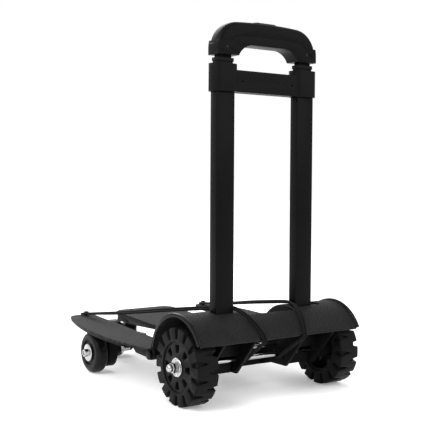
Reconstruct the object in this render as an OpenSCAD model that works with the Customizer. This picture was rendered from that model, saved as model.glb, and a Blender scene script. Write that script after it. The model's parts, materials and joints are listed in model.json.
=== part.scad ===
// Folding platform cart: two large rear wheels under an arched housing, a
// telescoping twin-tube handle, and three platform arms that stand on swivel
// casters and fold up about one hinge rod in front of the housing.
// The origin is at the middle of the overall box, on the floor. +Y points to
// the front of the platform, +Z up, and -X is the cart's left.

/* [Rear wheels] */
// Outer radius of the rear tyres
wheel_r = 65; // [54:1:78]
// Width of the rear tyres
wheel_w = 41; // [34:1:49]
// Space between the gusset plates and the rear tyres
wheel_gap = 11.8; // [10:0.2:40]
// Radius of the rear rims
rim_r = 41.5; // [34:0.5:44]
// Depth of the notches in the rear tread
lug_d = 5; // [4:0.1:8]
// Radius of the rear axle
axle_r = 4; // [3:0.5:5]

/* [Housing] */
// Wall of the arched housing
shell_wall = 4; // [3:0.5:5]
// Space between the tyres and the housing
arch_gap = 8; // [7:0.5:12]
// Height of the raised flange at the ends of the housing
flange_h = 3; // [2:0.5:4]
// Width of the raised flange
flange_w = 6; // [4:0.5:8]
// Thickness of the gusset plates that carry the axle
gusset_t = 5; // [4:0.5:6]

/* [Handle] */
// Distance between the middle lines of the two tubes
tube_gap = 172; // [143:1:207]
// Width of the outer tubes
tube_w = 36; // [33:0.5:42]
// Depth of the outer tubes
tube_d = 19; // [18:0.5:23]
// Wall of the outer tubes
tube_wall = 1.5; // [1.2:0.1:1.8]
// Height of the top of the collar above the floor
collar_top = 564.6; // [480:0.2:680]
// Height of the collar
collar_h = 46; // [38:1:56]
// Height of the grip
grip_h = 58.5; // [48:0.5:72]
// Depth of the grip from front to back
grip_d = 30; // [26:1:36]

/* [Platform arms] */
// Distance from the front of the housing to the hinge rod
hinge_gap = 16; // [14:0.5:24]
// Radius of the hinge rod
hinge_r = 4; // [3:0.5:4.5]
// Reach of the side arms in front of the hinge rod
side_reach = 303; // [270:1:364]
// Reach of the middle arm in front of the hinge rod
centre_reach = 316; // [280:1:380]
// Width of the middle arm at its root
centre_w = 114; // [95:1:137]
// How far the middle deck widens on each side of its root
centre_wide = 11; // [6:1:14]
// Widest part of a side arm
side_w = 88.5; // [78:0.5:107]
// Thickness of the deck plates
deck_t = 4; // [3:0.5:5]

/* [Casters] */
// Outer radius of the caster tyres
caster_r = 39; // [32:1:47]
// Width of the caster tyres
caster_w = 26; // [21:1:32]
// Distance from a caster's swivel bolt to its axle
trail = 26; // [22:1:30]

/* [Cords] */
// Diameter of each strand of the elastic cords
cord_d = 4; // [3:0.5:5]

/* [Hidden] */
$fn = 64;

// Clearances: a running fit, a seated fit, free space between bodies, and a
// length beyond every piece
run = 0.05;
seat = 0.1;
free = 0.3;
big = 400;

// Gusset plates on both sides of each tube, and the wheels outside them
socket_gap = 11;
gusset_in = tube_gap / 2 - tube_w / 2 - socket_gap;
gusset_out = tube_gap / 2 + tube_w / 2 + socket_gap;
gusset_end = gusset_out + gusset_t;
track = 2 * (gusset_end + wheel_gap) + wheel_w;

// Housing arch, as a circle in the YZ plane with the rear axle at Y = 0
arch_y = 3;
arch_z = wheel_r + 8.5;
shell_in = wheel_r + arch_gap;
shell_out = shell_in + shell_wall;
flange_r = shell_out + flange_h;
arch_half = track / 2 + wheel_w / 2;
back_angle = 152.4;
front_angle = 7.1;
rear_edge = arch_y + shell_in * cos(back_angle);
notch_x = centre_w / 2;
notch_y = -25;
slot_gap = 1;
slot_spare = 19;
screw_angle = 122;
screw_x = 20;
pad_h = 14;

// Tubes and their sockets
tube_y = -4;
tube_bottom = wheel_r + 14;
socket_wall = 1.6;
socket_floor = 4;
web_y = tube_y + tube_d / 2 + 2 * seat + socket_wall;
web_t = 4;

// Axle hardware
axle_low = wheel_r - 23;
washer_in = arch_half - 1.5;
washer_t = 2;
washer_r = 15.8;
nut_h = 10;
nut_out = washer_in + washer_t + nut_h + 3.5;
nut_cap = 4;
hub_in = gusset_end + 11;
hub_half = 17;
bush_out = axle_r + 2;
windows = 8;
lugs = 14;
lug_side = 4.6;
lug_open = 5.5;
lug_foot = 2.8;
lug_tip = 1.2;
lug_low = rim_r + 5;
tie_r = 3;
tie_y = 20;
tie_z = wheel_r + 13;

// Hinge line
hinge_ahead = arch_y + flange_r + hinge_gap;
hinge_z = wheel_r + 3;
lug_r = hinge_r + 4;
knuckle_r = hinge_r + 5;
lug_t = 5;
arm_inner = gusset_end - 8;
centre_half = centre_w / 2;
beam_front = hinge_ahead - 25;
beam_depth = 12;
beam_back = beam_front - beam_depth;
beam_low = hinge_z - 33;
beam_high = hinge_z - 4;
cap_in = arm_inner + 52 + free;
cap_w = 4;

// Arms, in a frame with the hinge rod at the origin and the deck level
deck_top = 15.7;
frame_top = deck_top - deck_t;
frame_low = frame_top - 4;
root_back = hinge_gap - 1;
root_end = 50;
skirt_end = 72;
skirt_low = -6.5;
arm_wall = 3;
root_out = arm_inner + 53;
wide_out = arm_inner + side_w;
side_inner = arm_inner + 12;
side_arc = 515;
side_mid = 134;
side_round = 22;
tip_round = 12;
wide_half = centre_half + centre_wide;
block_low = 2 * caster_r + 1.5;
block_back = 141;
tilt_run = 160;
tyre_clear = 5.4;
arm_tilt = atan((2 * caster_r + tyre_clear - hinge_z - frame_low) / tilt_run);
hook_spot = [-arm_inner - 30, side_reach - 11];
hook_r = 3;
deck_screw_r = 2;
side_screws = [[-arm_inner - 12, 22], [-arm_inner - 38, 120], [-arm_inner - 38, 205]];
centre_screws = [[-centre_half + 16, 22], [centre_half - 16, 22], [0, 180]];

// Casters: the wheel stands beside the swivel stem
swivel_top = 2 * caster_r - 4;
plate_top = swivel_top + free + 1.5;
stem_r = 12.5;
bolt_r = 4;
bolt_deep = 22;
side_off = caster_w / 2 + stem_r + 0.5;
side_pivot = [-arm_inner - 27, hinge_ahead + side_reach - 67];
centre_pivot = [-centre_half + 22, hinge_ahead + centre_reach - 17];
body_r = caster_r - 9;
hub_r = caster_r - 15;
face_r = hub_r - 7.5;
caster_in = -side_off + caster_w / 2;
body_in = caster_in + 4;
body_out = body_in + 18;
sleeve_out = body_out + 20;
bolt_end = sleeve_out + 22;
hub_out = -side_off - caster_w / 2 + 0.5;

// Handle stages, each tube thinner than the last by its wall and a gap
stage_gap = 1.6;
mid_w = tube_w - 2 * tube_wall - stage_gap;
mid_d = tube_d - 2 * tube_wall - stage_gap;
thin = 1.2;
in_w = mid_w - 2 * thin - stage_gap;
in_d = mid_d - 2 * thin - stage_gap;
bush_h = 5;
mid_top = collar_top + 4;
mid_bush_h = 6;
collar_out = 6;
collar_round = 12;
collar_step = 9.5;

// Grip, in two halves that meet on a line inside its outline
grip_low = collar_top + 14.4;
grip_top = grip_low + grip_h;
grip_leg = tube_w + 3;
grip_out = tube_gap / 2 + grip_leg / 2;
grip_round = 44;
crown_r = 900;
crown_z = grip_top - crown_r;
corner_x = grip_out - grip_round;
corner_z = crown_z + sqrt((crown_r - grip_round) ^ 2 - corner_x ^ 2);
corner_a = atan2(corner_z - crown_z, corner_x);
inside_round = 33;
bar_h = 39.5;
split_in = 24;
seam_z = grip_low + 24;
press = 5;
rod_bar_low = grip_top - 23.5;
rod_bar_h = 5;
tube_top = rod_bar_low - press - 9;
spring_low = rod_bar_low - 8;
spring_r = 4.5;
button_w = 34;
button_r = 6.5;
button_low = grip_top - 8;
button_proud = 1.5;
rod_r = 2.5;

// The box of the whole cart, to put the origin at the middle of its base
front_y = centre_pivot[1] + trail + caster_r;
rear_y = arch_y + flange_r * cos(back_angle);
middle_y = (front_y + rear_y) / 2;

// ---- Helpers ----

// Moves a piece from the frame of the rear axle to the frame of the cart
module cart() translate([0, -middle_y, 0]) children();

// Extrudes an outline in Y and Z from x0 to x1
module along_x(x0, x1) translate([x0, 0, 0]) rotate([90, 0, 90]) linear_extrude(x1 - x0) children();

// A round bar along X
module rod_x(x0, x1, r, y, z) translate([x0, y, z]) rotate([0, 90, 0]) cylinder(r = r, h = x1 - x0);

// A block centred on X = x and Y = y, from z0 to z1
module post(x, y, w, d, z0, z1) translate([x - w / 2, y - d / 2, z0]) cube([w, d, z1 - z0]);

// A cylinder along Z from z0 to z1
module cylinder_up(r, z0, z1) translate([0, 0, z0]) cylinder(r = r, h = z1 - z0);

// A rectangular tube standing on z0
module box_tube(x, y, w, d, wall, z0, z1) difference() {
    post(x, y, w, d, z0, z1);
    post(x, y, w - 2 * wall, d - 2 * wall, z0 - 1, z1 + 1);
}

// One copy on each side of the cart
module both() {
    children();
    mirror([1, 0, 0]) children();
}

// Puts a piece that is drawn for the cart's left (-X) side on the given side
module on(side) mirror([side > 0 ? 1 : 0, 0, 0]) children();

// Puts a piece of an arm in the cart's frame, at its tilt about the hinge rod
module arm() cart() translate([0, hinge_ahead, hinge_z]) rotate([arm_tilt, 0, 0]) children();

// Inside arm(), goes back to the frame of the rear axle for what stands upright
module upright() rotate([-arm_tilt, 0, 0]) translate([0, -hinge_ahead, -hinge_z]) children();

function arc(c, r, a0, a1, n) = [for (i = [0 : n]) let (a = a0 + (a1 - a0) * i / n) c + r * [cos(a), sin(a)]];

// ---- Housing and chassis ----

// What the arch leaves open below its two edges
module arch_opening() polygon([
    [arch_y, arch_z],
    [arch_y + big * cos(front_angle), arch_z + big * sin(front_angle)],
    [big, -big], [-big, -big],
    [arch_y + big * cos(back_angle), arch_z + big * sin(back_angle)]]);

module arch_ring(r) difference() {
    translate([arch_y, arch_z]) circle(r = r, $fn = 128);
    translate([arch_y, arch_z]) circle(r = shell_in, $fn = 128);
    arch_opening();
}

module housing_shell() color([0.07, 0.07, 0.07]) cart() difference() {
    union() {
        along_x(-arch_half, arch_half) arch_ring(shell_out);
        both() along_x(arch_half - flange_w, arch_half) arch_ring(flange_r);
    }
    // Opening between the tubes for the middle arm's root
    translate([-notch_x, notch_y, arch_z]) cube([2 * notch_x, big, big]);
    // Slots for the handle tubes, longer on the right of each tube
    for (s = [-1, 1])
        translate([s * tube_gap / 2 - tube_w / 2 - slot_gap, tube_y - tube_d / 2 - slot_gap, arch_z])
            cube([tube_w + 2 * slot_gap + slot_spare, tube_d + 2 * slot_gap, big]);
    // Blind holes for the screws from the pads of the brackets
    screw_places() cylinder(r = 2 + seat, h = shell_out - 1.2);
}

// Screws stand square to the arch, two over each bracket
module screw_places() for (s = [-1, 1]) for (x = [s * tube_gap / 2 - screw_x, s * tube_gap / 2 + screw_x])
    translate([x, arch_y, arch_z]) rotate([screw_angle - 90, 0, 0]) children();

module housing_screws() color([0.2, 0.2, 0.2]) cart() screw_places() {
    cylinder_up(2, shell_in - pad_h - 1, shell_out - 1.5);
    cylinder_up(3.6, shell_in - pad_h - 1.8, shell_in - pad_h);
}

// Outline of a gusset plate under the arch
module gusset_outline() intersection() {
    translate([arch_y, arch_z]) circle(r = shell_in - seat, $fn = 128);
    polygon([[rear_edge, arch_z + big], [rear_edge, arch_z + 34], [-6, axle_low], [34, axle_low],
             [beam_back, beam_low], [beam_back, arch_z + big]]);
}

// A bracket: two gusset plates joined by a web in front of the tube's socket
module bracket(side) color([0.06, 0.06, 0.06]) cart() on(side) difference() {
    union() {
        along_x(-gusset_end, -gusset_out) gusset_outline();
        along_x(-gusset_in, -gusset_in + gusset_t) gusset_outline();
        along_x(-gusset_out - 1, -gusset_in + 1) intersection() {
            gusset_outline();
            translate([web_y, axle_low]) square([web_t, big]);
        }
        // The pad under the housing that its screws bite into
        along_x(-gusset_out - 1, -gusset_in + 1) intersection() {
            gusset_outline();
            translate([arch_y, arch_z]) rotate(screw_angle) translate([shell_in - pad_h, -6])
                square([pad_h + 6, 12]);
        }
    }
    rod_x(-gusset_end - 1, -gusset_in + gusset_t + 1, axle_r + run, 0, wheel_r);
    rod_x(-gusset_end - 1, -gusset_in + gusset_t + 1, tie_r + run, tie_y, tie_z);
    screw_places() cylinder(r = 2 + run, h = big);
}

module tie_bar() color([0.3, 0.3, 0.3]) cart() rod_x(-gusset_end, gusset_end, tie_r, tie_y, tie_z);

// The beam across the front of the brackets, with the fixed hinge lugs
module hinge_beam() color([0.06, 0.06, 0.06]) cart() difference() {
    union() {
        along_x(-gusset_end, gusset_end) translate([beam_back + seat, beam_low])
            square([beam_depth - seat, beam_high - beam_low]);
        both() for (x = [centre_half + 1, arm_inner - 2 - lug_t]) along_x(x, x + lug_t) {
            translate([hinge_ahead, hinge_z]) circle(r = lug_r);
            polygon([[beam_front - 2, beam_low], [hinge_ahead, hinge_z - lug_r],
                     [hinge_ahead, hinge_z + lug_r], [beam_front - 2, beam_high]]);
        }
    }
    rod_x(-big, big, hinge_r + run, hinge_ahead, hinge_z);
}

module hinge_rod() color([0.6, 0.6, 0.62]) cart()
    rod_x(-cap_in - 2, cap_in + 2, hinge_r, hinge_ahead, hinge_z);

module hinge_caps() color([0.05, 0.05, 0.05]) cart() both() difference() {
    rod_x(cap_in, cap_in + cap_w, knuckle_r - 1, hinge_ahead, hinge_z);
    rod_x(cap_in - 1, cap_in + 2 + run, hinge_r + run, hinge_ahead, hinge_z);
}

module rear_axle() color([0.75, 0.75, 0.77]) cart() rod_x(-nut_out, nut_out, axle_r, 0, wheel_r);

module axle_washers() color([0.75, 0.75, 0.77]) cart() both() difference() {
    rod_x(washer_in, washer_in + washer_t, washer_r, 0, wheel_r);
    rod_x(washer_in - 1, washer_in + washer_t + 1, axle_r + run, 0, wheel_r);
}

module axle_nuts() color([0.8, 0.8, 0.82]) cart() both() difference() {
    union() {
        translate([washer_in + washer_t, 0, wheel_r]) rotate([0, 90, 0])
            cylinder(r = axle_r + 5, h = nut_h, $fn = 6);
        rod_x(washer_in + washer_t, nut_out + nut_cap, axle_r + 2.5, 0, wheel_r);
    }
    rod_x(0, nut_out + run, axle_r + run, 0, wheel_r);
}

module axle_spacers() color([0.1, 0.1, 0.1]) cart() both() difference() {
    rod_x(gusset_end, hub_in - free, axle_r + 4, 0, wheel_r);
    rod_x(gusset_out, hub_in, axle_r + run, 0, wheel_r);
}

// ---- Rear wheels ----

// Half outline of the tyre: radius against width, shoulders rounded
module tyre_outline(r_in, r_out, w, shoulder) polygon(concat(
    [[r_in, -w / 2]],
    arc([r_out - shoulder, -w / 2 + shoulder], shoulder, -90, 0, 8),
    arc([r_out - shoulder, w / 2 - shoulder], shoulder, 0, 90, 8),
    [[r_in, w / 2]]));

// A notch of the tread on the wheel's -X side: a V across the tread that runs
// down the side wall
module lug_notch() intersection() {
    linear_extrude(big) polygon([
        [-wheel_w / 2 - 1, -lug_open], [-wheel_w / 2 - 1, lug_open],
        [-lug_tip, lug_tip], [0, 0], [-lug_tip, -lug_tip]]);
    along_x(-wheel_w / 2 - 1, 0) polygon([
        [-lug_foot, lug_low], [lug_foot, lug_low], [lug_open, wheel_r - 2], [lug_open, wheel_r + 5],
        [-lug_open, wheel_r + 5], [-lug_open, wheel_r - 2]]);
}

// A smooth body, and a notched tread about it whose sides take turns
module rear_tyre(side) color([0.08, 0.08, 0.08]) cart() on(side) translate([-track / 2, 0, wheel_r]) {
    rotate([0, 90, 0]) rotate_extrude($fn = 96)
        tyre_outline(rim_r + seat, wheel_r - lug_d, wheel_w - 2 * lug_side, 3);
    difference() {
        rotate([0, 90, 0]) rotate_extrude($fn = 96) tyre_outline(rim_r + seat, wheel_r, wheel_w, 2.5);
        for (i = [0 : lugs - 1]) {
            rotate([360 * i / lugs, 0, 0]) lug_notch();
            rotate([360 * (i + 0.5) / lugs, 0, 0]) mirror([1, 0, 0]) lug_notch();
        }
    }
}

// The rim: a ring, a hub and a web with rounded triangular windows
module rear_rim(side) color([0.12, 0.12, 0.12]) cart() on(side) difference() {
    union() {
        rod_x(-track / 2 - wheel_w / 2 + 2, -track / 2 + wheel_w / 2 - 2, rim_r, 0, wheel_r);
        rod_x(-washer_in + free, -hub_in, hub_half, 0, wheel_r);
    }
    // The hollow behind the web
    difference() {
        rod_x(-track / 2 - 6, -track / 2 + wheel_w / 2, rim_r - 4, 0, wheel_r);
        rod_x(-track / 2 - 7, -track / 2 + wheel_w / 2 + 1, hub_half, 0, wheel_r);
    }
    for (i = [0 : windows - 1]) translate([-big / 2, 0, wheel_r]) rotate([0, 90, 0])
        rotate([0, 0, 360 * i / windows]) linear_extrude(big)
            polygon(concat(arc([rim_r - 6.5, 4], 2.4, 0, 90, 3), arc([rim_r - 15.2, 1.2], 3, 90, 180, 4),
                           arc([rim_r - 15.2, -1.2], 3, 180, 270, 4),
                           arc([rim_r - 6.5, -4], 2.4, 270, 360, 3)));
    rod_x(-big, big, bush_out + seat / 2, 0, wheel_r);
}

module wheel_bush(side) color([0.75, 0.7, 0.55]) cart() on(side) difference() {
    rod_x(-washer_in + free, -hub_in, bush_out, 0, wheel_r);
    rod_x(-big, 0, axle_r + run, 0, wheel_r);
}

// ---- Telescoping handle ----

// A block between the gusset plates that the foot of a tube stands in
module tube_sockets() color([0.05, 0.05, 0.05]) cart() both() difference() {
    intersection() {
        post(tube_gap / 2, tube_y, gusset_out - gusset_in - 2 * seat, tube_d + 2 * (seat + socket_wall),
             tube_bottom - socket_floor, big);
        along_x(0, big) translate([arch_y, arch_z]) circle(r = shell_in - seat, $fn = 128);
    }
    post(tube_gap / 2, tube_y, tube_w + 2 * seat, tube_d + 2 * seat, tube_bottom, big);
}

module outer_tube(side) color([0.06, 0.06, 0.06]) cart()
    box_tube(side * tube_gap / 2, tube_y, tube_w, tube_d, tube_wall, tube_bottom, collar_top - bush_h);

// A bush: a ring on the end of a tube, with a thin liner down inside it
module bush(x, ring_w, ring_d, tube_in_w, tube_in_d, hole_w, hole_d, top, h, liner) difference() {
    union() {
        post(x, tube_y, ring_w, ring_d, top - h, top);
        post(x, tube_y, tube_in_w - 2 * seat, tube_in_d - 2 * seat, top - h - liner, top);
    }
    post(x, tube_y, hole_w, hole_d, top - h - liner - 1, top + 1);
}

module outer_bushes() color([0.12, 0.12, 0.12]) cart() for (s = [-1, 1])
    bush(s * tube_gap / 2, tube_w, tube_d, tube_w - 2 * tube_wall, tube_d - 2 * tube_wall,
         mid_w + 2 * free, mid_d + 2 * free, collar_top, bush_h, 20);

// The collar: a block with round corners about each tube, and a lower crossbar
module collar() color([0.05, 0.05, 0.05]) cart() difference() {
    low = collar_top - collar_h;
    side_x = tube_w / 2 + collar_out - collar_round;
    side_y = tube_d / 2 + collar_out - collar_round;
    union() {
        both() {
            post(tube_gap / 2, tube_y, 2 * side_x, tube_d + 2 * collar_out, low, collar_top);
            post(tube_gap / 2, tube_y, tube_w + 2 * collar_out, 2 * side_y, low, collar_top);
            for (sx = [-1, 1]) for (sy = [-1, 1])
                translate([tube_gap / 2 + sx * side_x, tube_y + sy * side_y, low])
                    cylinder(r = collar_round, h = collar_h);
        }
        post(0, tube_y, tube_gap - tube_w, tube_d + 4, low, collar_top - collar_step);
    }
    for (s = [-1, 1]) post(s * tube_gap / 2, tube_y, tube_w + 2 * seat, tube_d + 2 * seat, 0, 2 * big);
    both() collar_screw_places() cylinder(r = 1.5 + run, h = big);
}

// Screws into the front of the crossbar
module collar_screw_places()
    translate([tube_gap / 2 - tube_w / 2 - 14, tube_y + tube_d / 2 + 2, collar_top - collar_h / 2 - 5])
        rotate([90, 0, 0]) children();

module collar_screws() color([0.3, 0.3, 0.3]) cart() both() collar_screw_places() {
    cylinder(r = 1.5, h = 16);
    translate([0, 0, -1.5]) cylinder(r = 3, h = 1.5);
}

module mid_tubes() color([0.08, 0.08, 0.08]) cart() for (s = [-1, 1])
    box_tube(s * tube_gap / 2, tube_y, mid_w, mid_d, thin, tube_bottom + 20, mid_top);

module mid_bushes() color([0.12, 0.12, 0.12]) cart() for (s = [-1, 1])
    bush(s * tube_gap / 2, mid_w + 2, mid_d + 2, mid_w - 2 * thin, mid_d - 2 * thin,
         in_w + 2 * free, in_d + 2 * free, mid_top + mid_bush_h, mid_bush_h, 18);

module inner_tubes() color([0.1, 0.1, 0.1]) cart() difference() {
    for (s = [-1, 1]) box_tube(s * tube_gap / 2, tube_y, in_w, in_d, thin, tube_bottom + 40, tube_top);
    both() grip_screw_places() cylinder(r = 1.5 + run, h = grip_d / 2 - 2.5);
}

// Outline of the grip in X and Z, shrunk by an inset from its outer edge: the
// top is a shallow arc that runs into round corners
module grip_outline(inset) {
    x = grip_out - inset;
    r = grip_round - inset;
    polygon(concat([[x, grip_low - 1]], arc([corner_x, corner_z], r, 0, corner_a, 12),
                   arc([0, crown_z], crown_r - inset, corner_a, 180 - corner_a, 16),
                   arc([-corner_x, corner_z], r, 180 - corner_a, 180, 12), [[-x, grip_low - 1]]));
}

// What the cover takes of the grip: its outer part above the seam of the legs
module cover_outline(inset, low) intersection() {
    difference() {
        grip_outline(0);
        grip_outline(inset);
    }
    translate([-big / 2, low]) square(big);
}

// Outline of the space for the hand, open below the grip
module grip_inside() {
    x = grip_out - grip_leg;
    z = grip_top - bar_h - inside_round;
    polygon(concat([[x, grip_low - inside_round]],
                   arc([x - inside_round, z], inside_round, 0, 90, 16),
                   arc([inside_round - x, z], inside_round, 90, 180, 16),
                   [[-x, grip_low - inside_round]]));
}

module grip_band() translate([0, tube_y + grip_d / 2, 0]) rotate([90, 0, 0]) linear_extrude(grip_d)
    intersection() {
        children();
        translate([-big / 2, grip_low]) square([big, big]);
    }

// The channel for the release bar, its rods and the tubes' ends
module grip_cavity() {
    post(0, tube_y, tube_gap + 14, 9, rod_bar_low - press - 1, rod_bar_low + rod_bar_h + 1.5);
    post(0, tube_y, button_w + 18, 18, rod_bar_low + rod_bar_h, grip_top - 6);
    translate([0, tube_y, spring_low]) cylinder(r = spring_r + 1, h = 20);
    for (s = [-1, 1]) {
        translate([s * tube_gap / 2, tube_y, grip_low]) cylinder(r = rod_r + 1, h = rod_bar_low - grip_low);
        post(s * tube_gap / 2, tube_y, in_w + 2 * seat, in_d + 2 * seat, grip_low - 1, tube_top + seat);
    }
    stadium(button_w, button_r + free, button_low, grip_top + 1);
    both() grip_screw_places() {
        cylinder(r = 1.5 + run, h = grip_d / 2);
        translate([0, 0, -5]) cylinder(r = 2.8 + seat, h = 5);
    }
}

module grip_shell() color([0.05, 0.05, 0.05]) cart() difference() {
    grip_band() difference() {
        grip_outline(0);
        grip_inside();
        cover_outline(split_in, seam_z);
    }
    grip_cavity();
}

module grip_cover() color([0.04, 0.04, 0.04]) cart() difference() {
    grip_band() cover_outline(split_in - seat, seam_z + seat);
    grip_cavity();
}

// Screws that hold the grip's legs on the inner tubes
module grip_screw_places() translate([tube_gap / 2, tube_y - grip_d / 2 + 2.5, grip_low + 13])
    rotate([-90, 0, 0]) children();

module grip_screws() color([0.2, 0.2, 0.2]) cart() both() grip_screw_places() {
    cylinder(r = 1.5, h = grip_d / 2 - 2.5 - rod_r - 0.9);
    translate([0, 0, -2]) cylinder(r = 2.8, h = 2);
}

// A post with round ends, w between their centres
module stadium(w, r, z0, z1) {
    post(0, tube_y, w, 2 * r, z0, z1);
    for (s = [-1, 1]) translate([s * w / 2, tube_y, z0]) cylinder(r = r, h = z1 - z0);
}

// The button: its cap, the rim that stops it in the grip, and its stem
module grip_button() color([0.03, 0.03, 0.03]) cart() {
    stadium(button_w, button_r, button_low, grip_top + button_proud);
    post(0, tube_y, button_w + 16, 15, button_low - 1, grip_top - 6 - free);
    translate([0, tube_y, rod_bar_low + rod_bar_h]) cylinder(r = 4, h = 11);
}

module release_rods() color([0.7, 0.7, 0.72]) cart() {
    post(0, tube_y, tube_gap + 10, 6, rod_bar_low, rod_bar_low + rod_bar_h);
    for (s = [-1, 1]) translate([s * tube_gap / 2, tube_y, 0])
        cylinder_up(rod_r, tube_bottom + 120, rod_bar_low + 2);
}

module button_spring() color([0.6, 0.6, 0.6]) cart() translate([0, tube_y, spring_low]) difference() {
    cylinder(r = spring_r, h = rod_bar_low - spring_low);
    translate([0, 0, -1]) cylinder(r = spring_r - 1.2, h = 20);
}

// ---- Platform arms ----

// The outboard edge of the left arm, a wide arc, at y along the arm
function side_x(y) = -wide_out + side_arc - sqrt(side_arc ^ 2 - (y - side_mid) ^ 2);

// Plan outline of the left arm, with the hinge rod at Y = 0, drawn in by an inset
module side_plan(inset) polygon(concat(
    [[-arm_inner - inset, -root_back + inset]],
    [for (i = [0 : 12]) let (y = -root_back + inset + (side_reach - side_round + root_back - inset) * i / 12)
        [side_x(y) + inset, y]],
    arc([side_x(side_reach - side_round) + side_round, side_reach - side_round],
        side_round - inset, 170, 90, 6),
    arc([-side_inner - tip_round, side_reach - tip_round], tip_round - inset, 90, 0, 5),
    [[-side_inner - inset, 50], [-arm_inner - inset, 20]]));

// Plan outline of the middle arm, wider than its root beyond the housing
module centre_plan(inset) polygon(concat(
    [[centre_half - inset, 25], [centre_half - inset, -root_back + inset],
     [-centre_half + inset, -root_back + inset], [-centre_half + inset, 25], [-wide_half + inset, 60]],
    arc([-wide_half + side_round, centre_reach - side_round], side_round - inset, 180, 90, 8),
    arc([wide_half - side_round, centre_reach - side_round], side_round - inset, 90, 0, 8),
    [[wide_half - inset, 60]]));

module deck_plate() translate([0, 0, frame_top]) linear_extrude(deck_t) children();

module arm_deck_side(side) color([0.12, 0.12, 0.13]) arm() on(side) difference() {
    deck_plate() side_plan(0);
    translate([hook_spot[0], hook_spot[1], 0]) cylinder(r = hook_r + run, h = 30);
    deck_screw_places(side_screws) cylinder_up(deck_screw_r + run, 0, deck_top - 1.2);
}

module deck_screw_places(spots) for (p = spots) translate([p[0], p[1], 0]) children();

// Side outline of an arm's root, deep about the hinge rod
module root_side() polygon([
    [-root_back + 1, frame_top], [-root_back + 1, skirt_low + 4], [-root_back + 6, skirt_low],
    [root_end, skirt_low], [skirt_end, frame_low], [skirt_end, frame_top]]);

// The root of an arm's frame between x0 and x1: a tray, a rib across it and the knuckle
module arm_root(x0, x1) {
    difference() {
        along_x(x0, x1) root_side();
        translate([x0 + arm_wall, knuckle_r + 5, -big])
            cube([x1 - x0 - 2 * arm_wall, skirt_end - knuckle_r - 9, big + frame_low]);
    }
    translate([x0 + 1, root_end - 10, skirt_low + 3])
        cube([x1 - x0 - 2, arm_wall, frame_top - skirt_low - 4]);
    rod_x(x0, x1, knuckle_r, 0, 0);
}

// The flat part of an arm's frame, under the deck's outline beyond the root
module frame_plate() translate([0, 0, frame_low]) linear_extrude(frame_top - frame_low) intersection() {
    children();
    translate([-big / 2, root_end]) square(big);
}

// The boss that holds a caster's swivel bolt upright under a tilted arm
module boss(pivot) intersection() {
    upright() translate([pivot[0], pivot[1], 0]) cylinder_up(stem_r, plate_top, big);
    translate([-big, -big, -big]) cube([2 * big, 2 * big, big + frame_top]);
}

module arm_frame_side(side) color([0.05, 0.05, 0.05]) arm() on(side) difference() {
    union() {
        arm_root(-root_out + 1, -arm_inner);
        frame_plate() side_plan(1);
        boss(side_pivot);
    }
    arm_bores(side_pivot, side_screws);
    translate([hook_spot[0], hook_spot[1], 0]) cylinder(r = hook_r + run, h = 30);
}

// Bores for the hinge rod, the swivel bolt and the deck screws
module arm_bores(pivot, screws) {
    rod_x(-big, big, hinge_r + run, 0, 0);
    upright() translate([pivot[0], pivot[1], 0]) cylinder_up(bolt_r + run, 0, big);
    deck_screw_places(screws) cylinder_up(deck_screw_r + run, -big, big);
}

module arm_deck_centre() color([0.12, 0.12, 0.13]) arm() difference() {
    deck_plate() centre_plan(0);
    deck_screw_places(centre_screws) cylinder_up(deck_screw_r + run, 0, deck_top - 1.2);
}

// Height in the arm's frame of the underside of the block, level on the cart
function block_z(y) = (block_low - hinge_z - y * sin(arm_tilt)) / cos(arm_tilt);

// The block under the tip of the middle arm: a wall along its outline
module tip_block() difference() {
    intersection() {
        translate([0, 0, -big / 2]) linear_extrude(big / 2 + frame_low + 1) difference() {
            centre_plan(1);
            centre_plan(1 + arm_wall);
        }
        along_x(-big, big) polygon([
            [block_back, frame_low + 1], [block_back, frame_low], [block_back + 80, block_z(block_back + 80)],
            [centre_reach, block_z(centre_reach)], [centre_reach, frame_low + 1]]);
    }
    // Holes in its two sides
    rod_x(-big, big, 2.5, centre_reach - 62, (frame_low + block_z(centre_reach - 62)) / 2);
}

module arm_frame_centre() color([0.05, 0.05, 0.05]) arm() difference() {
    union() {
        arm_root(-centre_half + 1, centre_half - 1);
        frame_plate() centre_plan(1);
        tip_block();
        boss(centre_pivot);
    }
    arm_bores(centre_pivot, centre_screws);
}

// Deck screws and the upright swivel bolt with its thrust plate
module fasteners(pivot, screws) {
    arm() deck_screw_places(screws) {
        cylinder_up(deck_screw_r, frame_low - 1, deck_top - 1.5);
        cylinder_up(2 * deck_screw_r, frame_low - 1.8, frame_low);
    }
    cart() translate([pivot[0], pivot[1], 0]) {
        cylinder_up(bolt_r, swivel_top - bolt_deep, swivel_top + swivel_rise(pivot));
        cylinder_up(bolt_r + 5, swivel_top + free, plate_top);
        cylinder_up(bolt_r + 2.5, swivel_top - bolt_deep - 5, swivel_top - bolt_deep);
    }
}

// Height from the top of the swivel to the underside of the deck
function swivel_rise(pivot) =
    hinge_z - swivel_top + frame_top + (pivot[1] - hinge_ahead) * sin(arm_tilt) - 1.5;

module fasteners_side(side) color([0.4, 0.4, 0.4]) on(side) fasteners(side_pivot, side_screws);

// The hook that holds the end of an elastic cord: a post through the deck with two heads
module cord_hook(side) color([0.05, 0.05, 0.05]) arm() on(side) translate([hook_spot[0], hook_spot[1], 0]) {
    cylinder_up(hook_r, frame_low - 2, deck_top + 7);
    cylinder_up(hook_r + 2, deck_top + 6.3, deck_top + 7.8);
    cylinder_up(hook_r + 2, frame_low - 4, frame_low - seat);
}

// ---- Casters, each drawn for a pivot with its wheel to the left ----

// Puts a caster piece at its pivot, with the trail behind (-1) or ahead (1)
module at_pivot(pivot, ahead, side) cart() on(side) translate([pivot[0], pivot[1], 0])
    mirror([0, ahead > 0 ? 0 : 1, 0]) children();

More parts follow.
